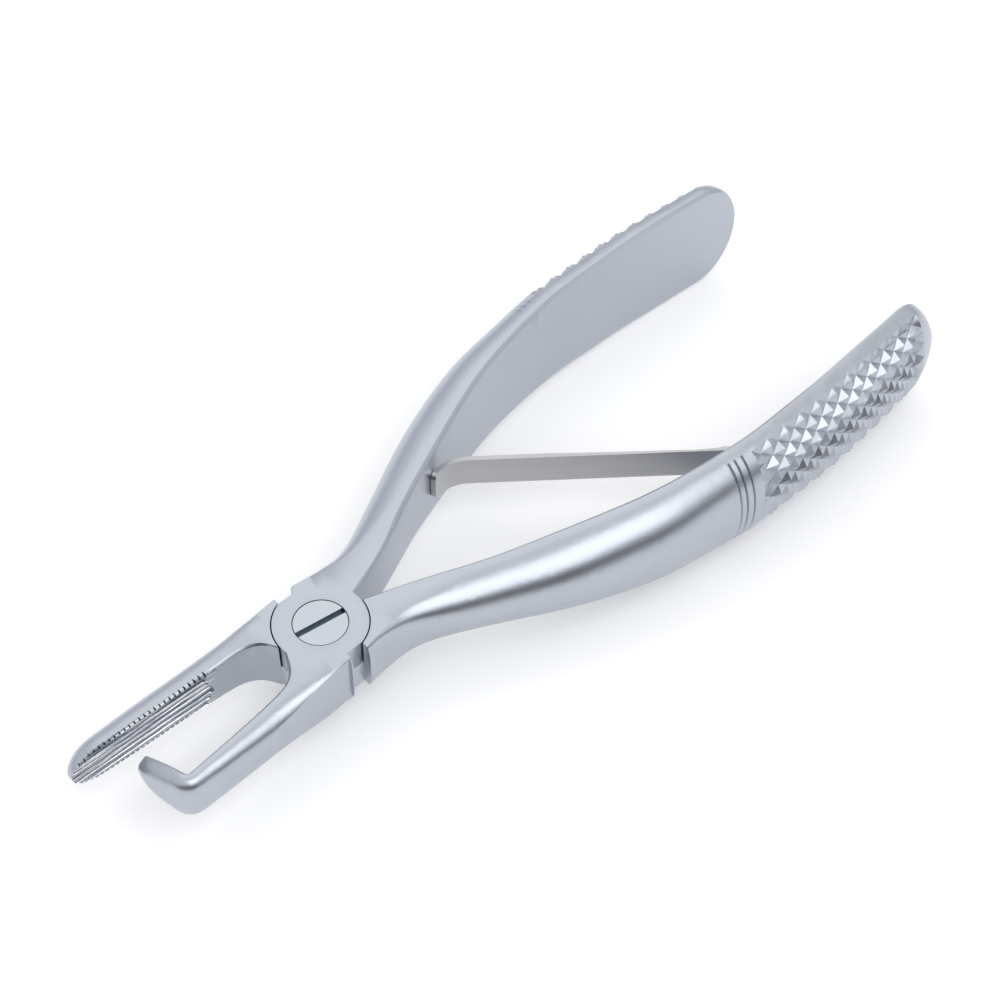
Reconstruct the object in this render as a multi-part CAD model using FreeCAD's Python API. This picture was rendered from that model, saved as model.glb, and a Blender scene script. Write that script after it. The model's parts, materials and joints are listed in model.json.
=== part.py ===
import FreeCAD, Part
import math
import os
from FreeCAD import Vector

os.makedirs("parts", exist_ok=True)

# Lap joint. The origin is on the pivot axis, on the underside of the joint.
joint_height = 9.2
middle = joint_height / 2
disc_radius = 6.95
disc_clearance = 0.2
parting_gap = 0.1
waist_half_width = 6.65
joint_facet_end = 11.0
joint_facet_radius = 62.0
upper_shoulder = [(0.5, waist_half_width), (1.4, 7.75)]
lower_shoulder_x = 1.95

# Pivot screw
screw_head_radius = 3.95
screw_head_height = 2.0
screw_head_gap = 0.14
screw_head_recess = 0.05
screw_shank_radius = 2.75
screw_running_clearance = 0.05
screw_thread_radius = 2.5
screw_thread_clearance = 0.02
screw_end_recess = 0.15
screw_end_chamfer = 0.4
screw_slot_width = 0.95
screw_slot_depth = 1.1
screw_slot_angle = -9.0

# Handles: distance of the inner flat from the centre line, and the D section on it, along X
handle_flat = [(-2, -1.9), (0, -1.3), (4, -0.25), (7.3, 0.85), (10, 1.75), (15, 3.65), (26, 8.75),
               (37, 13.1), (48, 17.0), (58, 19.1), (70, 20.3), (80, 20.3), (94, 19.65), (110, 18.5)]
handle_half_height = [(-2, 5.0), (8, 4.9), (14, 4.95), (23, 5.5), (34, 6.8), (45, 8.0), (55, 8.7),
                      (65, 9.25), (80, 9.8), (91, 10.15), (110, 10.15)]
handle_bulge = [(-2, 10.0), (0, 9.7), (2, 9.1), (4, 8.35), (6, 7.65), (8, 7.1), (10, 6.7), (15, 6.45),
                (25, 6.75), (35, 7.6), (45, 7.6), (60, 6.7), (77, 6.7), (90, 6.5), (110, 5.4)]
handle_shelf = [(-2, 7.2), (0, 6.8), (4, 5.2), (7, 3.4), (10, 1.6), (16, 0.4), (25, 0.2), (110, 0.2)]
handle_fullness = [(-2, 0.94), (6, 0.88), (10, 0.78), (16, 0.66), (25, 0.58), (110, 0.58)]
handle_bevel = [(-2, 0.5), (8, 0.7), (20, 0.6), (110, 0.5)]
handle_lean_start = 6.0
handle_lean_end = 20.0
hook_handle_end = 107.5
serrated_handle_end = 109.7
handle_end_rounding = 7.5
handle_end_thickness_share = 0.45
handle_stations = [-1.8, 0.2, 2, 4, 6, 8, 10.5, 13.5, 17, 22, 28, 35, 42, 50, 58, 66, 74, 82, 90, 97, 101]
end_round_angles = [18, 36, 52, 66, 77, 84]

# Grip knurl and the two rings in front of it
knurl_start = 64.9
knurl_pitch = 3.6
knurl_columns = 22
knurl_rows = 7
knurl_depth = 0.85
knurl_crest_depth = 0.04
knurl_margin = 1.7
ring_positions = [61.1, 62.2, 63.5]
ring_half_width = 0.32
ring_depth = 0.42
ring_margin = 1.3
ring_steps = 8
run_out_rise = 0.3
cutter_rise = 2.5
outer_line_samples = 28

# Hook jaw: inner flat, outer side and section along X, then the corner and the hook
hook_jaw_flat = [(2, 0.5), (-4.5, 0.5), (-6.2, 0.2), (-7.0, -0.8), (-7.6, -2.0), (-8.5, -3.3),
                 (-9.6, -4.2), (-11, -4.75), (-13.5, -5.15), (-17, -5.5), (-22, -5.95), (-29, -6.5)]
hook_jaw_outer = [(2, -7.9), (-1.5, -8.1), (-3, -8.3), (-5, -8.7), (-8, -8.95), (-12, -9.1),
                  (-20, -9.25), (-29, -9.3)]
hook_jaw_half_height = [(2, 5.0), (-5, 4.9), (-7, 4.75), (-8.5, 4.6), (-10, 4.45), (-13, 4.2),
                        (-17, 4.05), (-29, 4.0)]
hook_jaw_shelf = [(2, 6.6), (-1, 6.5), (-4, 5.5), (-6.5, 4.5), (-8, 2.4), (-10, 1.1), (-13, 0.5),
                  (-29, 0.4)]
hook_jaw_fullness = [(2, 0.94), (-6, 0.9), (-9, 0.78), (-13, 0.66), (-29, 0.62)]
hook_jaw_start = -0.95
hook_jaw_stations = [1.6, 0.2, -1.4, -3, -4.7, -6.2, -7.0, -7.7, -8.6, -9.7, -11.2, -13.5, -16.5, -20.5,
                     -24.5, -27.6]
jaw_bevel = 0.35
hook_corner = (-29.4, -6.5)
hook_corner_radius = 0.6
hook_lean = 9.5
hook_thickness = 2.75
corner_steps = 4
hook_profile = [(1.2, 2.8, 3.85), (2.7, 2.9, 3.5), (4.2, 2.9, 3.0), (5.6, 2.7, 2.45), (6.6, 2.4, 2.0),
                (7.3, 2.1, 1.65), (7.8, 1.85, 1.4)]
hook_facet = [(-1.2, -7.65), (-15.0, -8.6)]

# Serrated jaw
serrated_jaw_flat = [(2, 0.0), (-6.3, 0.1), (-7.1, 0.75), (-7.6, 1.6), (-8.2, 2.55), (-9.2, 3.5),
                     (-10.6, 4.2), (-12.5, 4.55), (-16, 4.7), (-28, 5.05), (-41.5, 5.5)]
serrated_jaw_outer = [(2, 7.9), (-2.1, 7.95), (-5, 8.1), (-9, 8.4), (-14, 8.75), (-20, 9.0), (-28, 9.2),
                      (-34, 9.15), (-41.5, 8.8)]
serrated_jaw_half_height = [(2, 5.0), (-3, 5.0), (-6, 4.85), (-8, 4.6), (-9.5, 4.4), (-12, 4.05),
                            (-16, 3.7), (-20, 3.45), (-28, 3.25), (-35, 3.1), (-41.5, 2.9)]
serrated_jaw_shelf = [(2, 6.6), (-2.1, 6.5), (-5, 5.4), (-7, 4.2), (-9, 2.0), (-12, 0.8), (-16, 0.5),
                      (-41.5, 0.3)]
serrated_jaw_fullness = [(2, 0.94), (-6, 0.9), (-9, 0.78), (-13, 0.68), (-20, 0.64), (-41.5, 0.6)]
serrated_jaw_start = -2.1
serrated_jaw_stations = [1.6, -0.2, -2.1, -4.2, -6.0, -7.0, -7.6, -8.4, -9.4, -10.8, -12.8, -16, -20, -25,
                         -30, -33.5]
serrated_jaw_end = -40.0
serrated_jaw_end_rounding = 5.0
serrated_jaw_end_thickness_share = 0.3
flute_count = 6
flute_pitch = 1.06
flute_radius = 0.65
flute_offset = 0.28
flute_hollow = 0.1
flute_end = -16.6
flute_end_step = 0.5
rim_tooth_pitch = 0.85
rim_tooth_count = 26
rim_tooth_start = -17.2
rim_tooth_depth = 0.6
rim_tooth_half_angle = 24.0

# Leaf spring: one strip, clamped by its foot, its blade leaning on the other handle
strip_width = 5.4
strip_thickness = 0.8
strip_seat_gap = 0.04
foot_start = 73.3
foot_end = 94.0
foot_screw_x = 86.0
bend_radius = 6.0
blade_contact_gap = 0.12
blade_angle_limits = (110.0, 175.0)
blade_angle_precision = 0.0001
flex_point_along = 7.4
blade_length = 42.4
ski_radius = 6.0
ski_end_angle = 203.0
root_clearance = 0.05
foot_hole_radius = 1.6
foot_steps = 6
strip_corner_radius = 1.2

# Spring screw
spring_screw_head_radius = 2.6
spring_screw_head_height = 1.3
spring_screw_shank_radius = 1.5
spring_screw_depth = 3.2
spring_screw_slot_width = 0.6
spring_screw_slot_depth = 0.6
spring_screw_edge = 0.35
spring_screw_seat_gap = 0.06
spring_screw_hole_spare = 0.3


def law(points):
    """Smooth curve through the points that never swings past them."""
    points = sorted(points)
    slopes = []
    for (x0, y0), (x1, y1) in zip(points, points[1:]):
        slopes.append((y1 - y0) / (x1 - x0))
    tangents = [slopes[0]]
    for before, after in zip(slopes, slopes[1:]):
        tangents.append(0.0 if before * after <= 0 else 2 * before * after / (before + after))
    tangents.append(slopes[-1])

    def value(x):
        index = 0
        while index < len(points) - 2 and x > points[index + 1][0]:
            index += 1
        (x0, y0), (x1, y1) = points[index], points[index + 1]
        step = x1 - x0
        t = (min(max(x, points[0][0]), points[-1][0]) - x0) / step
        rise = y1 - y0
        bend_in = step * tangents[index] - rise
        bend_out = rise - step * tangents[index + 1]
        return y0 + t * rise + t * (1 - t) * (bend_in * (1 - t) + bend_out * t)

    return value


def section(origin, outward, half_height, bulge, shelf, fullness, bevel):
    """D-shaped closed wire: straight flat, two bevels, two shelves, two arcs."""
    def place(out, up):
        return Vector(origin[0] + outward[0] * out, origin[1] + outward[1] * out, middle + up)

    inner = bevel + shelf
    reach = bulge - inner
    upper = Part.BezierCurve()
    upper.setPoles([place(inner, half_height), place(inner + fullness * reach, half_height),
                    place(bulge, fullness * half_height), place(bulge, 0)])
    lower = Part.BezierCurve()
    lower.setPoles([place(bulge, 0), place(bulge, -fullness * half_height),
                    place(inner + fullness * reach, -half_height), place(inner, -half_height)])
    edges = [Part.makeLine(place(0, bevel - half_height), place(0, half_height - bevel)),
             Part.makeLine(place(0, half_height - bevel), place(bevel, half_height)),
             Part.makeLine(place(bevel, half_height), place(inner, half_height)),
             upper.toShape(),
             lower.toShape(),
             Part.makeLine(place(inner, -half_height), place(bevel, -half_height)),
             Part.makeLine(place(bevel, -half_height), place(0, bevel - half_height))]
    return Part.Wire(edges)


def loft(wires):
    return Part.makeLoft(wires, True, False, False, 5)


def prism(points, low, high):
    """Straight block over a closed plan outline."""
    corners = [Vector(x, y, low) for x, y in points]
    face = Part.Face(Part.makePolygon(corners + corners[:1]))
    return face.extrude(Vector(0, 0, high - low))


flat_at = law(handle_flat)
half_height_at = law(handle_half_height)
bulge_at = law(handle_bulge)
shelf_at = law(handle_shelf)
fullness_at = law(handle_fullness)
bevel_at = law(handle_bevel)


def handle_direction(x):
    """Unit direction out of the inner flat, eased from square at the joint."""
    reach = 0.5
    slope = math.atan2(flat_at(x + reach) - flat_at(x - reach), 2 * reach)
    ease = min(max((x - handle_lean_start) / (handle_lean_end - handle_lean_start), 0), 1)
    turn = slope * ease * ease * (3 - 2 * ease)
    return (-math.sin(turn), math.cos(turn))


def handle_taper(x, end):
    """Factor that rounds off the last part of a handle that ends there."""
    along = max(0.0, (x - (end - handle_end_rounding)) / handle_end_rounding)
    return math.sqrt(max(0.0, 1 - along * along))


def handle_shape(x, end):
    taper = handle_taper(x, end)
    share = handle_end_thickness_share + (1 - handle_end_thickness_share) * taper
    return (half_height_at(x) * taper, bulge_at(x) * share, shelf_at(x) * taper, fullness_at(x),
            bevel_at(x) * taper)


def handle_section(x, end):
    half_height, bulge, shelf, fullness, bevel = handle_shape(x, end)
    return section((x, flat_at(x)), handle_direction(x), half_height, bulge, shelf, fullness, bevel)


def outer_line(x, end):
    """Points of the upper arc from the outermost line to the shelf, with the length so far."""
    half_height, bulge, shelf, fullness, bevel = handle_shape(x, end)
    inner = bevel + shelf
    reach = bulge - inner
    poles = [(bulge, 0), (bulge, fullness * half_height),
             (inner + fullness * reach, half_height), (inner, half_height)]
    points = []
    length = 0.0
    for step in range(outer_line_samples + 1):
        t = step / outer_line_samples
        weights = [(1 - t) ** 3, 3 * t * (1 - t) ** 2, 3 * t * t * (1 - t), t ** 3]
        out = sum(weight * pole[0] for weight, pole in zip(weights, poles))
        up = sum(weight * pole[1] for weight, pole in zip(weights, poles))
        if points:
            length += math.hypot(out - points[-1][0], up - points[-1][1])
        points.append((out, up, length))
    return points


def on_handle(x, end, across, margin, lift):
    """Point over the round outside; across runs from -1 to 1 between the two margins."""
    points = outer_line(x, end)
    distance = abs(across) * (points[-1][2] - margin)
    index = 0
    while index < len(points) - 2 and points[index + 1][2] < distance:
        index += 1
    (out0, up0, from0), (out1, up1, from1) = points[index], points[index + 1]
    t = (distance - from0) / (from1 - from0)
    run = math.hypot(out1 - out0, up1 - up0)
    normal_out = (up1 - up0) / run
    normal_up = (out0 - out1) / run
    out = out0 + (out1 - out0) * t + normal_out * lift
    up = up0 + (up1 - up0) * t + normal_up * lift
    side = 1 if across >= 0 else -1
    direction = handle_direction(x)
    return Vector(x + direction[0] * out, flat_at(x) + direction[1] * out, middle + side * up)


def relief_cutter(end, stations, rows, margin, lift_at):
    """Closed block over the handle whose underside is a grid of small sloping faces."""
    last_station = len(stations) - 1
    last_row = len(rows) - 1
    under = []
    cover = []
    for i, x in enumerate(stations):
        under.append([on_handle(x, end, row, margin, lift_at(i, j)) for j, row in enumerate(rows)])
        cover.append([on_handle(x, end, row, margin, cutter_rise) for row in rows])
    faces = []

    def triangle(a, b, c):
        faces.append(Part.Face(Part.makePolygon([a, b, c, a])))

    for grid in (under, cover):
        for i in range(last_station):
            for j in range(last_row):
                a, b = grid[i][j], grid[i + 1][j]
                c, d = grid[i + 1][j + 1], grid[i][j + 1]
                if (i + j) % 2 == 0:
                    triangle(a, b, c)
                    triangle(a, c, d)
                else:
                    triangle(a, b, d)
                    triangle(b, c, d)
    rim = [(i, 0) for i in range(last_station)]
    rim += [(last_station, j) for j in range(last_row)]
    rim += [(i, last_row) for i in range(last_station, 0, -1)]
    rim += [(0, j) for j in range(last_row, 0, -1)]
    for (i0, j0), (i1, j1) in zip(rim, rim[1:] + rim[:1]):
        triangle(under[i0][j0], under[i1][j1], cover[i1][j1])
        triangle(under[i0][j0], cover[i1][j1], cover[i0][j0])
    return Part.makeSolid(Part.makeShell(faces))


def knurl_cutter(end):
    stations = [knurl_start + i * knurl_pitch / 2 for i in range(knurl_columns + 1)]
    rows = [j / knurl_rows for j in range(-knurl_rows, knurl_rows + 1)]

    def lift(i, j):
        if i in (0, knurl_columns) or j in (0, 2 * knurl_rows):
            return run_out_rise
        return -knurl_depth if (i + j) % 2 == 0 else -knurl_crest_depth

    return relief_cutter(end, stations, rows, knurl_margin, lift)


def ring_cutter(position, end):
    stations = [position - ring_half_width, position, position + ring_half_width]
    rows = [j / ring_steps for j in range(-ring_steps, ring_steps + 1)]

    def lift(i, j):
        return -ring_depth if i == 1 and 0 < j < 2 * ring_steps else run_out_rise

    return relief_cutter(end, stations, rows, ring_margin, lift)


def handle(end):
    """Handle on the +Y side, from the joint to its rounded end."""
    stations = list(handle_stations)
    start = end - handle_end_rounding
    for angle in end_round_angles:
        stations.append(start + handle_end_rounding * math.sin(math.radians(angle)))
    body = loft([handle_section(x, end) for x in stations])
    for position in ring_positions:
        body = body.cut(ring_cutter(position, end))
    return body.cut(knurl_cutter(end))


def joint_facet_cutters():
    """Blocks above and below that leave the joint flat and run out along the handles."""
    far = 40.0
    rise = 12.0
    sweep = math.sqrt(joint_facet_radius ** 2 - (joint_facet_radius - rise) ** 2)
    start = Vector(joint_facet_end, -far, joint_height)
    end = Vector(joint_facet_end + sweep, -far, joint_height + rise)
    half_turn = math.asin(sweep / joint_facet_radius) / 2
    halfway = Vector(joint_facet_end + joint_facet_radius * math.sin(half_turn), -far,
                     joint_height + joint_facet_radius * (1 - math.cos(half_turn)))
    corner_low = Vector(-far, -far, joint_height)
    corner_high = Vector(-far, -far, joint_height + rise)
    outline = Part.Wire([Part.makeLine(corner_low, start), Part.Arc(start, halfway, end).toShape(),
                         Part.makeLine(end, corner_high), Part.makeLine(corner_high, corner_low)])
    above = Part.Face(outline).extrude(Vector(0, 2 * far, 0))
    below = above.mirror(Vector(0, 0, middle), Vector(0, 0, 1))
    return [above, below]


def disc(low, high):
    """Round lap with the two waist flats."""
    body = Part.makeCylinder(disc_radius, high - low, Vector(0, 0, low))
    waist = Part.makeBox(4 * disc_radius, 2 * waist_half_width, high - low,
                         Vector(-2 * disc_radius, -waist_half_width, low))
    return body.common(waist)


def lap_room(low, high):
    """Space that the other arm's disc turns in."""
    return Part.makeCylinder(disc_radius + disc_clearance, high - low, Vector(0, 0, low))


def beyond(x):
    """Everything on the handle side of a cross plane."""
    reach = 2 * serrated_handle_end
    return Part.makeBox(reach, reach, reach, Vector(x, -reach / 2, -reach / 2))


def hook_jaw():
    flat = law(hook_jaw_flat)
    outer = law(hook_jaw_outer)
    half_height = law(hook_jaw_half_height)
    shelf = law(hook_jaw_shelf)
    fullness = law(hook_jaw_fullness)
    wires = []
    for x in hook_jaw_stations:
        wires.append(section((x, flat(x)), (0, -1), half_height(x), flat(x) - outer(x),
                             shelf(x), fullness(x), jaw_bevel))
    bar_height = half_height(hook_jaw_stations[-1])
    bar_shelf = shelf(hook_jaw_stations[-1])
    bar_fullness = fullness(hook_jaw_stations[-1])
    turn = 90 - hook_lean
    tangent = hook_corner_radius * math.tan(math.radians(turn / 2))
    centre = (hook_corner[0] + tangent, hook_corner[1] + hook_corner_radius)
    for step in range(corner_steps + 1):
        angle = math.radians(270 - turn * step / corner_steps)
        outward = (math.cos(angle), math.sin(angle))
        origin = (centre[0] + hook_corner_radius * outward[0],
                  centre[1] + hook_corner_radius * outward[1])
        wires.append(section(origin, outward, bar_height, hook_thickness, bar_shelf, bar_fullness,
                             jaw_bevel))
    outward = (-math.cos(math.radians(hook_lean)), -math.sin(math.radians(hook_lean)))
    along = (-math.sin(math.radians(hook_lean)), math.cos(math.radians(hook_lean)))
    for distance, thickness, height in hook_profile:
        origin = (hook_corner[0] + along[0] * distance, hook_corner[1] + along[1] * distance)
        shrink = height / bar_height
        wires.append(section(origin, outward, height, thickness, bar_shelf * shrink, bar_fullness,
                             jaw_bevel * shrink))
    (x0, y0), (x1, y1) = hook_facet
    far = 4.0
    facet = prism([(x0, y0), (x1, y1), (x1, y1 - far), (x0, y0 - far)], -far, joint_height + far)
    return loft(wires).cut(facet).cut(beyond(hook_jaw_start))


def serrated_jaw():
    flat = law(serrated_jaw_flat)
    outer = law(serrated_jaw_outer)
    half_height = law(serrated_jaw_half_height)
    shelf = law(serrated_jaw_shelf)
    fullness = law(serrated_jaw_fullness)
    start = serrated_jaw_end + serrated_jaw_end_rounding
    stations = list(serrated_jaw_stations)
    for angle in end_round_angles:
        stations.append(start - serrated_jaw_end_rounding * math.sin(math.radians(angle)))
    wires = []
    for x in stations:
        along = max(0.0, (start - x) / serrated_jaw_end_rounding)
        taper = math.sqrt(max(0.0, 1 - along * along))
        share = serrated_jaw_end_thickness_share + (1 - serrated_jaw_end_thickness_share) * taper
        wires.append(section((x, flat(x)), (0, 1), half_height(x) * taper, (outer(x) - flat(x)) * share,
                             shelf(x) * taper, fullness(x), jaw_bevel * taper))
    body = loft(wires).cut(beyond(serrated_jaw_start))
    return body.cut(Part.makeCompound(flutes(flat) + rim_teeth(flat, half_height)))


def flutes(flat):
    """Long round grooves side by side along the biting face, deepest in the middle."""
    cutters = []
    half = (flute_count - 1) / 2
    for index in range(flute_count):
        offset = index - half
        gap = flute_offset - flute_hollow * (1 - abs(offset) / half)
        up = middle + offset * flute_pitch
        inner_x = flute_end - flute_end_step * abs(offset)
        outer_x = serrated_jaw_end - 1
        inner_end = Vector(inner_x, flat(inner_x) - gap, up)
        outer_end = Vector(outer_x, flat(outer_x) - gap, up)
        run = outer_end - inner_end
        groove = Part.makeCylinder(flute_radius, run.Length, inner_end, run)
        cutters.append(groove.fuse(Part.makeSphere(flute_radius, inner_end)))
    return cutters


def rim_teeth(flat, half_height):
    """Small notches across the upper and lower rims of the biting face."""
    cutters = []
    rise = 0.5
    half_width = (rim_tooth_depth + rise) * math.tan(math.radians(rim_tooth_half_angle))
    diagonal = math.sqrt(0.5)
    for index in range(rim_tooth_count):
        x = rim_tooth_start - index * rim_tooth_pitch
        along = max(0.0, (serrated_jaw_end + serrated_jaw_end_rounding - x) / serrated_jaw_end_rounding)
        taper = math.sqrt(max(0.0, 1 - along * along))
        for side in (1, -1):
            corner = Vector(x, flat(x), middle + side * half_height(x) * taper)
            out = Vector(0, -diagonal, side * diagonal)
            across = Vector(0, diagonal, side * diagonal)
            wide = Vector(half_width, 0, 0)
            root = corner - out * rim_tooth_depth - across
            top = corner + out * rise - across
            face = Part.Face(Part.makePolygon([root, top + wide, top - wide, root]))
            cutters.append(face.extrude(across * 2))
    return cutters


def hook_arm():
    far = 12.0
    shoulder = [(-far, waist_half_width)] + upper_shoulder
    shoulder += [(upper_shoulder[-1][0], far), (-far, far)]
    grip = handle(hook_handle_end).cut(prism(shoulder, -far, 2 * far))
    body = grip.fuse([hook_jaw(), disc(0, joint_height)])
    for cutter in joint_facet_cutters():
        body = body.cut(cutter)
    split = middle + parting_gap / 2
    body = body.cut(lap_room(-far, split))
    bore = Part.makeCylinder(screw_shank_radius + screw_running_clearance, 2 * joint_height)
    seat_height = joint_height - screw_head_recess - screw_head_height - screw_running_clearance
    counterbore = Part.makeCylinder(screw_head_radius + screw_head_gap, joint_height,
                                    Vector(0, 0, seat_height))
    return body.cut(bore).cut(counterbore)


def serrated_arm():
    far = 12.0
    grip = handle(serrated_handle_end).mirror(Vector(0, 0, 0), Vector(0, 1, 0))
    grip = grip.common(beyond(lower_shoulder_x))
    body = grip.fuse([serrated_jaw(), disc(0, joint_height)])
    for cutter in joint_facet_cutters():
        body = body.cut(cutter)
    split = middle - parting_gap / 2
    body = body.cut(lap_room(split, 2 * far))
    bore = Part.makeCylinder(screw_thread_radius + screw_thread_clearance, 3 * far, Vector(0, 0, -far))
    direction = handle_direction(foot_screw_x)
    outward = Vector(direction[0], -direction[1], 0)
    top = Vector(foot_screw_x, -flat_at(foot_screw_x), middle)
    tapped = Part.makeCylinder(spring_screw_shank_radius + screw_thread_clearance,
                               spring_screw_depth + 2 * spring_screw_hole_spare,
                               top - outward * spring_screw_hole_spare, outward)
    return body.cut(bore).cut(tapped)


def pivot_screw():
    head_top = joint_height - screw_head_recess
    head_bottom = head_top - screw_head_height
    head = Part.makeCylinder(screw_head_radius, screw_head_height, Vector(0, 0, head_bottom))
    shank_bottom = middle + parting_gap / 2
    shank = Part.makeCylinder(screw_shank_radius, head_bottom - shank_bottom, Vector(0, 0, shank_bottom))
    thread = Part.makeCylinder(screw_thread_radius, shank_bottom - screw_end_recess,
                               Vector(0, 0, screw_end_recess))
    ends = [edge for edge in thread.Edges if edge.BoundBox.ZMax < 2 * screw_end_recess]
    thread = thread.makeChamfer(screw_end_chamfer, ends)
    slot = Part.makeBox(4 * screw_head_radius, screw_slot_width, 2 * screw_slot_depth,
                        Vector(-2 * screw_head_radius, -screw_slot_width / 2, head_top - screw_slot_depth))
    slot.rotate(Vector(0, 0, 0), Vector(0, 0, 1), screw_slot_angle)
    return head.fuse([shank, thread]).cut(slot)


def strip_points(blade_angle):
    """Key points of the strip's middle line in plan."""
    seat = strip_thickness / 2 + strip_seat_gap
    bend_start = Vector(foot_start, -flat_at(foot_start) + seat, 0)
    turn = math.radians(180 - blade_angle)
    centre = bend_start + Vector(0, bend_radius, 0)
    bend_end = centre + Vector(-bend_radius * math.sin(turn), -bend_radius * math.cos(turn), 0)
    along = Vector(math.cos(math.radians(blade_angle)), math.sin(math.radians(blade_angle)), 0)
    flex = bend_end + along * flex_point_along
    ski_start = bend_end + along * blade_length
    side = Vector(-along.y, along.x, 0)
    ski_centre = ski_start + side * ski_radius
    return {"bend_start": bend_start, "bend_centre": centre, "bend_end": bend_end, "along": along,
            "side": side, "flex": flex, "ski_start": ski_start, "ski_centre": ski_centre}


def leaning_blade_angle():
    """Direction of the blade at which its curled tip leans on the other handle's flat."""
    low, high = blade_angle_limits
    flat_points = []
    for step in range(round(foot_start / blade_contact_gap)):
        x = step * blade_contact_gap
        flat_points.append(Vector(x, flat_at(x), 0))
    room = ski_radius + strip_thickness / 2 + blade_contact_gap
    while high - low > blade_angle_precision:
        angle = (low + high) / 2
        ski_centre = strip_points(angle)["ski_centre"]
        nearest = min(point.distanceToPoint(ski_centre) for point in flat_points)
        inside = ski_centre.y > flat_at(ski_centre.x)
        if inside or nearest < room:
            low = angle
        else:
            high = angle
    return high


blade_angle = leaning_blade_angle()
strip = strip_points(blade_angle)


def thicken(outline):
    """Strip of full width from its closed plan outline."""
    face = Part.Face(Part.Wire(outline))
    body = face.extrude(Vector(0, 0, strip_width))
    body.translate(Vector(0, 0, middle - strip_width / 2))
    return body


def round_about(centre, radius, start, end):
    """Arc in plan between two angles in degrees."""
    points = []
    for angle in (start, (start + end) / 2, end):
        points.append(centre + Vector(radius * math.cos(math.radians(angle)),
                                      radius * math.sin(math.radians(angle)), 0))
    return Part.Arc(points[0], points[1], points[2]).toShape()


def leaf_spring_foot():
    flex, along, side = strip["flex"], strip["along"], strip["side"]
    bend_start, bend_end, centre = strip["bend_start"], strip["bend_end"], strip["bend_centre"]
    half = strip_thickness / 2
    low_points = []
    high_points = []
    for step in range(foot_steps + 1):
        x = foot_start + (foot_end - foot_start) * step / foot_steps
        direction = handle_direction(x)
        top = strip_seat_gap + strip_thickness
        for offset, points in ((strip_seat_gap, low_points), (top, high_points)):
            points.append(Vector(x - direction[0] * offset, direction[1] * offset - flat_at(x), 0))
    low_points[0] = bend_start - Vector(0, half, 0)
    high_points[0] = bend_start + Vector(0, half, 0)
    low = Part.BSplineCurve()
    low.interpolate(low_points)
    high = Part.BSplineCurve()
    high.interpolate(high_points)
    turn = 180 - blade_angle
    outer_bend = round_about(centre, bend_radius + half, 270, 270 - turn)
    inner_bend = round_about(centre, bend_radius - half, 270 - turn, 270)
    seat_radius = half + root_clearance
    inset = math.sqrt(seat_radius ** 2 - half ** 2)
    lower_lip = flex + side * half - along * inset
    upper_lip = flex - side * half - along * inset
    deepest = flex - along * seat_radius
    outline = [low.toShape(), Part.makeLine(low_points[-1], high_points[-1]), high.toShape(),
               inner_bend, Part.makeLine(bend_end - side * half, upper_lip),
               Part.Arc(upper_lip, deepest, lower_lip).toShape(),
               Part.makeLine(lower_lip, bend_end + side * half), outer_bend]
    body = thicken(Part.__sortEdges__(outline))
    hole = Part.makeCylinder(foot_hole_radius, 4 * strip_thickness,
                             Vector(foot_screw_x, -flat_at(foot_screw_x) - strip_thickness, middle),
                             Vector(0, 1, 0))
    return body.cut(hole)


def leaf_spring_blade():
    flex, along, side = strip["flex"], strip["along"], strip["side"]
    ski_start, ski_centre = strip["ski_start"], strip["ski_centre"]
    half = strip_thickness / 2
    start_angle = blade_angle - 90
    end_angle = ski_end_angle - 90
    tip = Vector(math.cos(math.radians(end_angle)), math.sin(math.radians(end_angle)), 0)
    lower_root = flex + side * half
    upper_root = flex - side * half
    root = Part.Arc(upper_root, flex - along * half, lower_root).toShape()
    tip_outside = ski_centre + tip * (ski_radius + half)
    tip_inside = ski_centre + tip * (ski_radius - half)
    outer_ski = round_about(ski_centre, ski_radius + half, start_angle, end_angle)
    inner_ski = round_about(ski_centre, ski_radius - half, end_angle, start_angle)
    outline = [root, Part.makeLine(upper_root, ski_start - side * half), outer_ski,
               Part.makeLine(tip_outside, tip_inside), inner_ski,
               Part.makeLine(ski_start + side * half, lower_root)]
    body = thicken(Part.__sortEdges__(outline))
    tip_middle = (tip_outside + tip_inside) / 2
    corners = []
    for edge in body.Edges:
        centre = edge.CenterOfMass
        if (Vector(centre.x, centre.y, 0) - tip_middle).Length < half and edge.Length < strip_width / 2:
            corners.append(edge)
    return body.makeFillet(strip_corner_radius, corners)


def spring_screw():
    direction = handle_direction(foot_screw_x)
    inward = Vector(-direction[0], direction[1], 0)
    lift = strip_seat_gap + strip_thickness + spring_screw_seat_gap
    seat = Vector(foot_screw_x, -flat_at(foot_screw_x), middle) + inward * lift
    head = Part.makeCylinder(spring_screw_head_radius, spring_screw_head_height, seat, inward)
    top = [edge for edge in head.Edges
           if (edge.CenterOfMass - seat).dot(inward) > spring_screw_head_height - spring_screw_edge]
    head = head.makeChamfer(spring_screw_edge, top)
    shank = Part.makeCylinder(spring_screw_shank_radius, spring_screw_depth + strip_thickness,
                              seat, inward * -1)
    slot = Part.makeBox(4 * spring_screw_head_radius, 4 * spring_screw_slot_depth, spring_screw_slot_width,
                        Vector(-2 * spring_screw_head_radius, 0, -spring_screw_slot_width / 2))
    slot.translate(seat + inward * (spring_screw_head_height - spring_screw_slot_depth))
    return head.fuse(shank).cut(slot)


nodes = {
    "hook_arm": hook_arm,
    "serrated_arm": serrated_arm,
    "pivot_screw": pivot_screw,
    "leaf_spring_foot": leaf_spring_foot,
    "leaf_spring_blade": leaf_spring_blade,
    "spring_screw": spring_screw,
}

for name, make in nodes.items():
    shape = make()
    shape.exportStep("parts/" + name + ".step")
    print(name, shape.ShapeType, "solids", len(shape.Solids), "valid", shape.isValid(),
          "volume", round(shape.Volume, 2), "box", shape.BoundBox)
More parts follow.
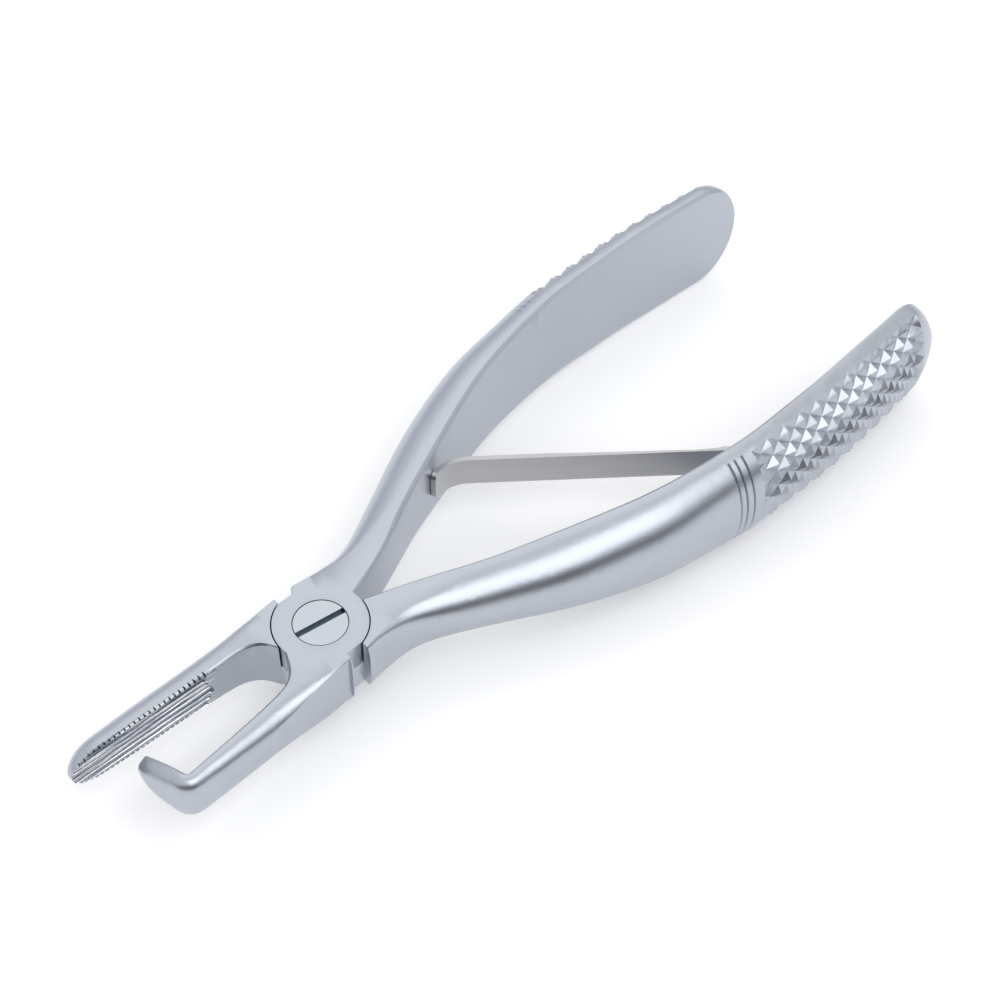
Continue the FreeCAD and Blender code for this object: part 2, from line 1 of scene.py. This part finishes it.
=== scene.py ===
import json
import math

import bmesh
import bpy
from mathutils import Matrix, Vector


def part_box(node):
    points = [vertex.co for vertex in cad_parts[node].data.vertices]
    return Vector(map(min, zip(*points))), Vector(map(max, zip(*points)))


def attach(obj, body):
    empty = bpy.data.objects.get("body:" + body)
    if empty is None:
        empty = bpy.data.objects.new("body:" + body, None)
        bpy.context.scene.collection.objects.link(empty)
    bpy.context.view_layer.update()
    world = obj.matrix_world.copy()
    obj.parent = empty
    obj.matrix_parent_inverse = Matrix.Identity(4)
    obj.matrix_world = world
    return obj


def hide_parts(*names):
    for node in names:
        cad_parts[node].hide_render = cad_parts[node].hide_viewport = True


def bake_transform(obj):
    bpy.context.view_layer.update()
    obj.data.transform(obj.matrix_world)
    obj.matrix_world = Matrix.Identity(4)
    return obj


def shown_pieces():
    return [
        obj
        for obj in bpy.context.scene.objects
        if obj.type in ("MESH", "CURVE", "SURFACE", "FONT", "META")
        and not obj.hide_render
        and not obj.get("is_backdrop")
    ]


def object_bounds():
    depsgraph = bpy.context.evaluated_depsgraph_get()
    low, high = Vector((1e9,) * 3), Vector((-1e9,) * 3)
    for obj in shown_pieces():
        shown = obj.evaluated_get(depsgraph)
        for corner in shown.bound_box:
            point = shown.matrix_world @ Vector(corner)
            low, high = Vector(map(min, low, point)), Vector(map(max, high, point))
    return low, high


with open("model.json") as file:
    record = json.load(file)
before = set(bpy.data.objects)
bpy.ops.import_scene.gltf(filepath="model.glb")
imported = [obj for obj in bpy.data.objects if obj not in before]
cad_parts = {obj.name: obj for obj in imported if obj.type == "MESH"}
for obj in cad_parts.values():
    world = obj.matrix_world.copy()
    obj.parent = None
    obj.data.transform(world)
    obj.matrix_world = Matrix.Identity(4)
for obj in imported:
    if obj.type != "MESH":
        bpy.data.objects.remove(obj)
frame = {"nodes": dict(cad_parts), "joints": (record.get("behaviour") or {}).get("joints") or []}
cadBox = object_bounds()
mm = 0.001
weldDistance = 0.002 * mm


# small helpers for working by hand
def deselectAll():
    if bpy.context.object and bpy.context.object.mode != "OBJECT":
        bpy.ops.object.mode_set(mode="OBJECT")
    bpy.ops.object.select_all(action="DESELECT")


def makeActive(piece):
    deselectAll()
    piece.select_set(True)
    bpy.context.view_layer.objects.active = piece


def copyOfNode(node, name):
    makeActive(frame["nodes"][node])
    bpy.ops.object.duplicate()
    piece = bpy.context.view_layer.objects.active
    piece.name = name
    piece.data.name = name
    piece.parent = None
    for key in list(piece.keys()):
        del piece[key]
    makeActive(piece)
    bpy.ops.object.mode_set(mode="EDIT")
    bpy.ops.mesh.select_all(action="SELECT")
    bpy.ops.mesh.remove_doubles(threshold=weldDistance)
    bpy.ops.object.mode_set(mode="OBJECT")
    if piece.data.has_custom_normals:
        bpy.ops.mesh.customdata_custom_splitnormals_clear()
    return piece


def roundEdges(piece, width, degrees, keptSharp):
    # breaks the sharp edges, apart from those whose middle keptSharp names
    angle = math.radians(degrees)
    makeActive(piece)
    bpy.ops.object.mode_set(mode="EDIT")
    bpy.ops.mesh.select_mode(type="EDGE")
    bpy.ops.mesh.select_all(action="DESELECT")
    mesh = bmesh.from_edit_mesh(piece.data)
    for edge in mesh.edges:
        middle = (edge.verts[0].co + edge.verts[1].co) / 2
        sharp = len(edge.link_faces) == 2 and edge.calc_face_angle(0) > angle
        if sharp and not keptSharp(middle):
            edge.select_set(True)
    bmesh.update_edit_mesh(piece.data)
    bpy.ops.mesh.bevel(offset=width, segments=2, profile=0.6, affect="EDGES", clamp_overlap=True)
    bpy.ops.mesh.select_all(action="SELECT")
    bpy.ops.mesh.remove_doubles(threshold=weldDistance)
    bpy.ops.object.mode_set(mode="OBJECT")


def nothingKeptSharp(point):
    return False


def smoothByAngle(piece, degrees):
    makeActive(piece)
    bpy.ops.object.shade_smooth_by_angle(angle=math.radians(degrees))


# shared surface effects
def makeGroup(name, inputs, outputs):
    group = bpy.data.node_groups.new(name, "ShaderNodeTree")
    for socketName, kind, value in inputs:
        socket = group.interface.new_socket(name=socketName, in_out="INPUT", socket_type=kind)
        socket.default_value = value
    for socketName, kind in outputs:
        group.interface.new_socket(name=socketName, in_out="OUTPUT", socket_type=kind)
    start = group.nodes.new("NodeGroupInput")
    end = group.nodes.new("NodeGroupOutput")
    return group, start, end


def satinGrainGroup():
    # fine blasted speckle over slow cloudy patches
    group, start, end = makeGroup(
        "satinGrain",
        [("Vector", "NodeSocketVector", (0, 0, 0)), ("Grain Scale", "NodeSocketFloat", 2600.0),
         ("Cloud Scale", "NodeSocketFloat", 90.0), ("Roughness", "NodeSocketFloat", 0.34),
         ("Spread", "NodeSocketFloat", 0.08)],
        [("Roughness", "NodeSocketFloat"), ("Height", "NodeSocketFloat"), ("Tone", "NodeSocketFloat")])
    nodes, links = group.nodes, group.links
    grain = nodes.new("ShaderNodeTexNoise")
    grain.inputs["Detail"].default_value = 2
    cloud = nodes.new("ShaderNodeTexNoise")
    cloud.inputs["Detail"].default_value = 4
    links.new(start.outputs["Vector"], grain.inputs["Vector"])
    links.new(start.outputs["Grain Scale"], grain.inputs["Scale"])
    links.new(start.outputs["Vector"], cloud.inputs["Vector"])
    links.new(start.outputs["Cloud Scale"], cloud.inputs["Scale"])
    both = nodes.new("ShaderNodeMix")
    grainShare = 0.4
    both.inputs["Factor"].default_value = grainShare
    links.new(cloud.outputs["Fac"], both.inputs["A"])
    links.new(grain.outputs["Fac"], both.inputs["B"])
    centred = nodes.new("ShaderNodeMath")
    centred.operation = "SUBTRACT"
    centred.inputs[1].default_value = 0.5
    links.new(both.outputs["Result"], centred.inputs[0])
    rough = nodes.new("ShaderNodeMath")
    rough.operation = "MULTIPLY_ADD"
    links.new(centred.outputs[0], rough.inputs[0])
    links.new(start.outputs["Spread"], rough.inputs[1])
    links.new(start.outputs["Roughness"], rough.inputs[2])
    links.new(rough.outputs[0], end.inputs["Roughness"])
    links.new(grain.outputs["Fac"], end.inputs["Height"])
    links.new(both.outputs["Result"], end.inputs["Tone"])
    return group


def drawnLinesGroup():
    # fine scratches as left by a belt or a stone, long in the direction that the mapping stretches
    group, start, end = makeGroup(
        "drawnLines",
        [("Vector", "NodeSocketVector", (0, 0, 0)), ("Scale", "NodeSocketFloat", 900.0),
         ("Contrast", "NodeSocketFloat", 0.5)],
        [("Lines", "NodeSocketFloat"), ("Height", "NodeSocketFloat")])
    nodes, links = group.nodes, group.links
    lines = nodes.new("ShaderNodeTexNoise")
    lines.inputs["Detail"].default_value = 5
    lines.inputs["Roughness"].default_value = 0.7
    links.new(start.outputs["Vector"], lines.inputs["Vector"])
    links.new(start.outputs["Scale"], lines.inputs["Scale"])
    centred = nodes.new("ShaderNodeMath")
    centred.operation = "SUBTRACT"
    centred.inputs[1].default_value = 0.5
    links.new(lines.outputs["Fac"], centred.inputs[0])
    scaled = nodes.new("ShaderNodeMath")
    scaled.operation = "MULTIPLY_ADD"
    scaled.inputs[2].default_value = 0.5
    scaled.use_clamp = True
    links.new(centred.outputs[0], scaled.inputs[0])
    contrast = nodes.new("ShaderNodeMath")
    contrast.operation = "MULTIPLY"
    steepest = 4.0
    contrast.inputs[1].default_value = steepest
    links.new(start.outputs["Contrast"], contrast.inputs[0])
    links.new(contrast.outputs[0], scaled.inputs[1])
    links.new(scaled.outputs[0], end.inputs["Lines"])
    links.new(lines.outputs["Fac"], end.inputs["Height"])
    return group


print("shared surface effects")
satinGrain = satinGrainGroup()
drawnLines = drawnLinesGroup()


def newMaterial(name):
    material = bpy.data.materials.new(name)
    material.use_nodes = True
    tree = material.node_tree
    shader = tree.nodes["Principled BSDF"]
    place = tree.nodes.new("ShaderNodeTexCoord")
    return material, tree, shader, place


def mapped(tree, place, scale):
    mapping = tree.nodes.new("ShaderNodeMapping")
    mapping.inputs["Scale"].default_value = scale
    tree.links.new(place.outputs["Object"], mapping.inputs["Vector"])
    return mapping


def bumpFrom(tree, shader, height, distance):
    bump = tree.nodes.new("ShaderNodeBump")
    bump.inputs["Strength"].default_value = 1.0
    bump.inputs["Distance"].default_value = distance
    tree.links.new(height, bump.inputs["Height"])
    tree.links.new(bump.outputs["Normal"], shader.inputs["Normal"])


def toneBetween(tree, shader, factor, dark, light):
    mix = tree.nodes.new("ShaderNodeMix")
    mix.data_type = "RGBA"
    mix.inputs["A"].default_value = dark + (1,)
    mix.inputs["B"].default_value = light + (1,)
    tree.links.new(factor, mix.inputs["Factor"])
    tree.links.new(mix.outputs["Result"], shader.inputs["Base Color"])
    return mix


# finishes
def grainySteel(name, finish):
    material, tree, shader, place = newMaterial(name)
    shader.inputs["Metallic"].default_value = 1.0
    grain = tree.nodes.new("ShaderNodeGroup")
    grain.node_tree = satinGrain
    grain.inputs["Grain Scale"].default_value = finish["grainScale"]
    grain.inputs["Cloud Scale"].default_value = finish["cloudScale"]
    grain.inputs["Roughness"].default_value = finish["roughness"]
    grain.inputs["Spread"].default_value = finish["spread"]
    mapping = mapped(tree, place, (1, 1, 1))
    tree.links.new(mapping.outputs["Vector"], grain.inputs["Vector"])
    tree.links.new(grain.outputs["Roughness"], shader.inputs["Roughness"])
    tone = toneBetween(tree, shader, grain.outputs["Tone"], finish["dark"], finish["light"])
    bumpFrom(tree, shader, grain.outputs["Height"], finish["bump"])
    return material, tree, shader, tone, mapping


def streakedSteel(name, finish):
    material, tree, shader, place = newMaterial(name)
    shader.inputs["Metallic"].default_value = 1.0
    shader.inputs["Roughness"].default_value = finish["roughness"]
    lines = tree.nodes.new("ShaderNodeGroup")
    lines.node_tree = drawnLines
    lines.inputs["Scale"].default_value = finish["lineScale"]
    lines.inputs["Contrast"].default_value = finish["contrast"]
    mapping = mapped(tree, place, finish["stretch"])
    tree.links.new(mapping.outputs["Vector"], lines.inputs["Vector"])
    toneBetween(tree, shader, lines.outputs["Lines"], finish["dark"], finish["light"])
    bumpFrom(tree, shader, lines.outputs["Height"], finish["bump"])
    return material


# blasted satin of the arms, and the more uneven metal left by the knurling tool
armFinish = {"dark": (0.41, 0.44, 0.49), "light": (0.51, 0.54, 0.59), "roughness": 0.33, "spread": 0.1,
             "grainScale": 2600.0, "cloudScale": 70.0, "bump": 0.012 * mm}
knurlFinish = {"dark": (0.36, 0.39, 0.44), "light": (0.56, 0.59, 0.64), "roughness": 0.33, "spread": 0.16,
               "grainScale": 1500.0, "cloudScale": 320.0, "bump": 0.02 * mm}

# screws, with painted shade that darkens the pivot screw's slot towards its bottom
screwFinishAndSlotShade = {"dark": (0.44, 0.47, 0.51), "light": (0.53, 0.56, 0.60), "roughness": 0.28, "spread": 0.08,
               "grainScale": 3000.0, "cloudScale": 160.0, "bump": 0.01 * mm,
               "slot": (0.2, 0.24, 0.28), "slotFade": 0.7 * mm, "slotLip": 0.12 * mm}


# painted shade: the base colour fades to the slot colour below the head's top, standing in for the shade
# inside the slot
def paintSlotShade(tree, shader, tone, mapping, top):
    height = tree.nodes.new("ShaderNodeSeparateXYZ")
    tree.links.new(mapping.outputs["Vector"], height.inputs[0])
    depth = tree.nodes.new("ShaderNodeMapRange")
    depth.inputs["From Min"].default_value = top - screwFinishAndSlotShade["slotFade"]
    depth.inputs["From Max"].default_value = top - screwFinishAndSlotShade["slotLip"]
    tree.links.new(height.outputs["Z"], depth.inputs["Value"])
    slotShadeTone = tree.nodes.new("ShaderNodeMix")
    slotShadeTone.data_type = "RGBA"
    slotShadeTone.inputs["A"].default_value = screwFinishAndSlotShade["slot"] + (1,)
    tree.links.new(depth.outputs[0], slotShadeTone.inputs["Factor"])
    tree.links.new(tone.outputs["Result"], slotShadeTone.inputs["B"])
    tree.links.new(slotShadeTone.outputs["Result"], shader.inputs["Base Color"])


# lengthwise grinding on the spring, and deep uneven streaks along the biting face
springFinish = {"dark": (0.42, 0.42, 0.44), "light": (0.53, 0.53, 0.54), "roughness": 0.32,
                "stretch": (0.03, 0.03, 1.0), "lineScale": 2600.0, "contrast": 0.4, "bump": 0.003 * mm}
biteFinish = {"dark": (0.14, 0.16, 0.19), "light": (0.74, 0.76, 0.80), "roughness": 0.2,
              "stretch": (0.045, 1.0, 1.0), "lineScale": 1700.0, "contrast": 0.95, "bump": 0.06 * mm}


print("finishes")
satinSteel = grainySteel("satinSteel", armFinish)[0]
knurlSteel = grainySteel("knurlSteel", knurlFinish)[0]
biteSteel = streakedSteel("biteSteel", biteFinish)
springSteel = streakedSteel("brushedSpringSteel", springFinish)
springScrewSteel = grainySteel("springScrewSteel", screwFinishAndSlotShade)[0]
# the pivot screw's material carries painted shade in its slot
pivotScrewSteelWithSlotShade, *pivotScrewNodes = grainySteel("pivotScrewSteelWithSlotShade", screwFinishAndSlotShade)
paintSlotShade(*pivotScrewNodes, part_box("pivot_screw")[1][2])


def dress(piece, material):
    piece.data.materials.clear()
    piece.data.materials.append(material)


def dressFaces(piece, material, chosen):
    # a second finish on the faces whose centre is chosen
    makeActive(piece)
    bpy.ops.object.material_slot_add()
    piece.material_slots[piece.active_material_index].material = material
    bpy.ops.object.mode_set(mode="EDIT")
    bpy.ops.mesh.select_mode(type="FACE")
    bpy.ops.mesh.select_all(action="DESELECT")
    mesh = bmesh.from_edit_mesh(piece.data)
    for face in mesh.faces:
        if chosen(face.calc_center_median()):
            face.select_set(True)
    bmesh.update_edit_mesh(piece.data)
    bpy.ops.object.material_slot_assign()
    bpy.ops.object.mode_set(mode="OBJECT")


# the two arms
arms = {"edgeRadius": 0.09 * mm, "edgeAngle": 34, "smoothAngle": 28, "ringStart": 60.5 * mm,
        "knurlStart": 64.8 * mm, "knurlEnd": 104.7 * mm, "knurlSide": 21.3 * mm, "knurlBend": 80 * mm,
        "knurlSlope": 0.054, "biteEnd": -15.8 * mm, "biteDepth": 5.3 * mm, "biteSlope": 0.031}


# the round outsides of both grips, and the fluted face of the serrated jaw
def onKnurl(centre):
    side = arms["knurlSide"] - arms["knurlSlope"] * max(0.0, centre.x - arms["knurlBend"])
    return arms["knurlStart"] < centre.x < arms["knurlEnd"] and abs(centre.y) > side


def onBite(centre):
    depth = arms["biteDepth"] + arms["biteSlope"] * (arms["biteEnd"] - centre.x)
    return centre.x < arms["biteEnd"] and centre.y < depth


def dressedArm(node, name):
    piece = copyOfNode(node, name)

    def inFineCuts(point):
        onGrip = point.x > arms["ringStart"]
        onTeeth = node == "serrated_arm" and point.x < arms["biteEnd"]
        return onGrip or onTeeth

    roundEdges(piece, arms["edgeRadius"], arms["edgeAngle"], inFineCuts)
    smoothByAngle(piece, arms["smoothAngle"])
    dress(piece, satinSteel)
    dressFaces(piece, knurlSteel, onKnurl)
    if node == "serrated_arm":
        dressFaces(piece, biteSteel, onBite)
    return piece


print("arms")
hookArm = dressedArm("hook_arm", "hookArm")
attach(hookArm, "hook_body")
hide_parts("hook_arm")
serratedArm = dressedArm("serrated_arm", "serratedArm")
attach(serratedArm, "serrated_body")
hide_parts("serrated_arm")


# screws
screws = {"edgeRadius": 0.07 * mm, "edgeAngle": 40, "smoothAngle": 32}


def dressedScrew(node, name, material):
    piece = copyOfNode(node, name)
    roundEdges(piece, screws["edgeRadius"], screws["edgeAngle"], nothingKeptSharp)
    smoothByAngle(piece, screws["smoothAngle"])
    dress(piece, material)
    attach(piece, "serrated_body")
    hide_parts(node)


print("screws")
dressedScrew("pivot_screw", "pivotScrew", pivotScrewSteelWithSlotShade)
dressedScrew("spring_screw", "springScrew", springScrewSteel)


# leaf spring, one strip from foot to tip
spring = {"cutBeforeHinge": 4.0 * mm, "cutAfterHinge": 22.0 * mm, "bridgeCuts": 20, "levelLimit": 0.01 * mm,
          "edgeRadius": 0.1 * mm, "edgeAngle": 50, "smoothAngle": 40}


def hingePoint(jointName):
    for joint in frame["joints"]:
        if joint["name"] == jointName:
            return Vector(joint["pos_m"])


def cutAway(piece, point, normal):
    # removes what lies on the normal's side and leaves an open end
    makeActive(piece)
    bpy.ops.object.mode_set(mode="EDIT")
    bpy.ops.mesh.select_all(action="SELECT")
    bpy.ops.mesh.bisect(plane_co=point, plane_no=normal, clear_outer=True)
    bpy.ops.object.mode_set(mode="OBJECT")


def leafSpring():
    foot = copyOfNode("leaf_spring_foot", "leafSpring")
    blade = copyOfNode("leaf_spring_blade", "blade")
    hinge = hingePoint("spring_flex")
    tip = min((corner.co for corner in blade.data.vertices), key=lambda place: place.x)
    # the longest level edge gives the direction of the blade's straight part
    along = Vector((0, 0, 0))
    for edge in blade.data.edges:
        start, end = (blade.data.vertices[number].co for number in edge.vertices)
        run = end - start
        if abs(run.z) < spring["levelLimit"] and run.length > along.length:
            along = run
    along = along.normalized()
    if along.dot(tip - hinge) < 0:
        along = -along
    cutAway(foot, hinge - along * spring["cutBeforeHinge"], along)
    cutAway(blade, hinge + along * spring["cutAfterHinge"], -along)
    deselectAll()
    blade.select_set(True)
    foot.select_set(True)
    bpy.context.view_layer.objects.active = foot
    bpy.ops.object.join()
    bpy.ops.object.mode_set(mode="EDIT")
    bpy.ops.mesh.select_mode(type="EDGE")
    bpy.ops.mesh.select_all(action="DESELECT")
    mesh = bmesh.from_edit_mesh(foot.data)
    for edge in mesh.edges:
        if len(edge.link_faces) == 1:
            edge.select_set(True)
    bmesh.update_edit_mesh(foot.data)
    bpy.ops.mesh.bridge_edge_loops(number_cuts=spring["bridgeCuts"], smoothness=0)
    bpy.ops.mesh.select_all(action="SELECT")
    bpy.ops.mesh.normals_make_consistent(inside=False)
    bpy.ops.object.mode_set(mode="OBJECT")
    roundEdges(foot, spring["edgeRadius"], spring["edgeAngle"], nothingKeptSharp)
    smoothByAngle(foot, spring["smoothAngle"])
    dress(foot, springSteel)
    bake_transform(foot)
    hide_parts("leaf_spring_foot", "leaf_spring_blade")


print("leaf spring")
leafSpring()


# floor, light and camera
studio = {"middle": (0.035, 0, 0), "floorRadius": 3.0, "floorColour": (0.86, 0.86, 0.87),
          "floorRoughness": 0.9, "floorLift": 0.2,
          "sky": 0.92, "skyColour": (1.0, 1.0, 1.0), "wallColour": (0.80, 0.84, 1.0),
          "frontWall": 0.03, "backWall": 0.75, "wallTop": (0.09, 0.38),
          "frontSide": (-0.55, -0.83, 0), "frontEase": (-0.1, 0.6),
          "frontRise": 0.34, "riseEase": (0.5, 0.95),
          "keyPower": 1.15, "keySize": 0.5, "keyPlace": (0.0, -0.34, 0.52),
          "backPower": 0.42, "backSize": 0.55, "backPlace": (0.30, 0.40, 0.66)}


def seenDirectly(tree):
    # 1 for what the camera, polished metal and clear pieces look at
    path = tree.nodes.new("ShaderNodeLightPath")
    total = path.outputs["Is Camera Ray"]
    for kind in ("Is Glossy Ray", "Is Transmission Ray"):
        either = tree.nodes.new("ShaderNodeMath")
        either.operation = "MAXIMUM"
        tree.links.new(total, either.inputs[0])
        tree.links.new(path.outputs[kind], either.inputs[1])
        total = either.outputs[0]
    return total


def buildFloor():
    deselectAll()
    under = (studio["middle"][0], studio["middle"][1], cadBox[0][2])
    bpy.ops.mesh.primitive_circle_add(vertices=96, radius=studio["floorRadius"], fill_type="NGON",
                                      location=under)
    floor = bpy.context.object
    floor.name = "floor"
    material, tree, shader, place = newMaterial("paleFloor")
    shader.inputs["Base Color"].default_value = studio["floorColour"] + (1,)
    shader.inputs["Roughness"].default_value = studio["floorRoughness"]
    shader.inputs["Emission Color"].default_value = (1, 1, 1, 1)
    lift = tree.nodes.new("ShaderNodeMath")
    lift.operation = "MULTIPLY"
    lift.inputs[1].default_value = studio["floorLift"]
    tree.links.new(seenDirectly(tree), lift.inputs[0])
    tree.links.new(lift.outputs[0], shader.inputs["Emission Strength"])
    floor.data.materials.append(material)
    floor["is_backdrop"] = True


def easedRange(tree, value, reach, atLow, atHigh):
    low, high = reach
    ease = tree.nodes.new("ShaderNodeMapRange")
    ease.interpolation_type = "SMOOTHSTEP"
    ease.inputs["From Min"].default_value = low
    ease.inputs["From Max"].default_value = high
    ease.inputs["To Min"].default_value = atLow
    ease.inputs["To Max"].default_value = atHigh
    tree.links.new(value, ease.inputs["Value"])
    return ease.outputs[0]


def buildWorld():
    world = bpy.data.worlds.new("studioWorld")
    bpy.context.scene.world = world
    world.use_nodes = True
    tree = world.node_tree
    back = tree.nodes["Background"]
    place = tree.nodes.new("ShaderNodeTexCoord")
    parts = tree.nodes.new("ShaderNodeSeparateXYZ")
    tree.links.new(place.outputs["Generated"], parts.inputs[0])
    # under a bright ceiling the room is pale behind the object and dark in front,
    # and the dark reaches highest straight in front
    front = tree.nodes.new("ShaderNodeVectorMath")
    front.operation = "DOT_PRODUCT"
    front.inputs[1].default_value = studio["frontSide"]
    tree.links.new(place.outputs["Generated"], front.inputs[0])
    facing = front.outputs["Value"]
    wall = easedRange(tree, facing, studio["frontEase"], studio["backWall"], studio["frontWall"])
    rise = easedRange(tree, facing, studio["riseEase"], 0.0, studio["frontRise"])
    height = tree.nodes.new("ShaderNodeMath")
    height.operation = "SUBTRACT"
    tree.links.new(parts.outputs["Z"], height.inputs[0])
    tree.links.new(rise, height.inputs[1])
    ceiling = easedRange(tree, height.outputs[0], studio["wallTop"], 0.0, 1.0)
    level = tree.nodes.new("ShaderNodeMix")
    tree.links.new(ceiling, level.inputs["Factor"])
    tree.links.new(wall, level.inputs["A"])
    level.inputs["B"].default_value = studio["sky"]
    colour = tree.nodes.new("ShaderNodeMix")
    colour.data_type = "RGBA"
    colour.inputs["A"].default_value = studio["wallColour"] + (1,)
    colour.inputs["B"].default_value = studio["skyColour"] + (1,)
    tree.links.new(ceiling, colour.inputs["Factor"])
    tree.links.new(colour.outputs["Result"], back.inputs["Color"])
    tree.links.new(level.outputs["Result"], back.inputs["Strength"])


def areaLamp(name, place, size, power):
    deselectAll()
    bpy.ops.object.light_add(type="AREA", location=place)
    lamp = bpy.context.object
    lamp.name = name
    lamp.data.size = size
    lamp.data.energy = power
    aim = Vector(studio["middle"]) - Vector(place)
    lamp.rotation_euler = aim.to_track_quat("-Z", "Y").to_euler()


camera = {"place": (-0.11455, -0.15669, 0.26597), "look": (0.44357, 0.46417, -0.76667),
          "lens": 81.456, "sensorWidth": 36, "clipStart": 0.01}


def buildCamera():
    deselectAll()
    bpy.ops.object.camera_add(location=camera["place"])
    view = bpy.context.object
    view.name = "photoView"
    view.rotation_euler = Vector(camera["look"]).to_track_quat("-Z", "Y").to_euler()
    view.data.lens = camera["lens"]
    view.data.sensor_width = camera["sensorWidth"]
    view.data.clip_start = camera["clipStart"]
    bpy.context.scene.camera = view


print("floor, light and camera")
buildFloor()
buildWorld()
areaLamp("keySoftbox", studio["keyPlace"], studio["keySize"], studio["keyPower"])
areaLamp("backSoftbox", studio["backPlace"], studio["backSize"], studio["backPower"])
buildCamera()
bpy.context.scene.view_settings.view_transform = "Standard"

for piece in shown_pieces():
    print(piece.name, len(piece.data.polygons), "faces")
